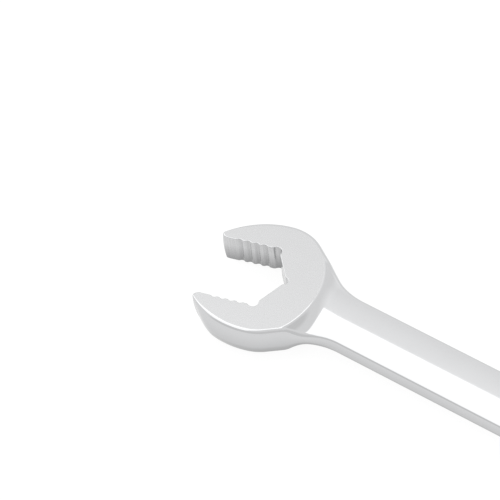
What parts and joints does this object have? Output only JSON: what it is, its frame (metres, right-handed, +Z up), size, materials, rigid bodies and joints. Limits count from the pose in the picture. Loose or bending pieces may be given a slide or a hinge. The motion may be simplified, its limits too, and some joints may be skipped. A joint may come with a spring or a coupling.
{
  "type": "combination wrench",
  "caption": "Combination wrench: open end with grooved jaws, flat shank, and a reversible twelve-point ratchet ring with a selector lever.",
  "frame": {"origin": "centre of the ratchet ring's twelve-point bore, at the ring's mid-thickness", "axes": "+X along the shank from the ring to the open end, +Z up out of the face that carries the selector lever, +Y to the left of the shank"},
  "size_m": [0.2496, 0.0381, 0.0121],
  "materials": {
    "chrome_forging": "polished chrome, satin on the heads' faces",
    "gear_steel": "hardened steel, fine turned finish",
    "pin_steel": "ground steel",
    "spring_steel": "oil-blackened spring steel",
    "lever_chrome": "satin chrome",
    "seal_rubber": "matt nitrile rubber"
  },
  "bodies": {
    "wrench": {"wrench_body": "chrome_forging", "gear_snap_ring": "spring_steel", "pawl_pin": "pin_steel"},
    "gear": {"ratchet_gear": "gear_steel"},
    "pawl": {"pawl": "gear_steel"},
    "lever": {"selector_lever": "lever_chrome", "lever_seal": "seal_rubber", "lever_clip": "spring_steel", "detent_spring": "spring_steel"},
    "ball": {"detent_ball": "pin_steel"}
  },
  "joints": [
    {"name": "gear_spin", "type": "hinge", "parent": "wrench", "child": "gear", "pos_m": [0, 0, 0], "axis": [0, 0, 1], "continuous": true},
    {"name": "lever_turn", "type": "hinge", "parent": "wrench", "child": "lever", "pos_m": [0.025, 0, 0], "axis": [0, 0, 1], "range_deg": [0, 36]},
    {"name": "pawl_rock", "type": "hinge", "parent": "wrench", "child": "pawl", "pos_m": [0.018, 0, 0], "axis": [0, 0, 1], "range_deg": [-12, 0]},
    {"name": "ball_push", "type": "slide", "parent": "lever", "child": "ball", "axis": [0.9511, -0.309, 0], "range_m": [0, 0.0005], "stiffness_N_per_m": 300, "springref_m": -0.0004, "deforming": ["detent_spring"]}
  ],
  "couplings": [
    {"joint": "pawl_rock", "follows": "lever_turn", "ratio": -0.33333}
  ]
}
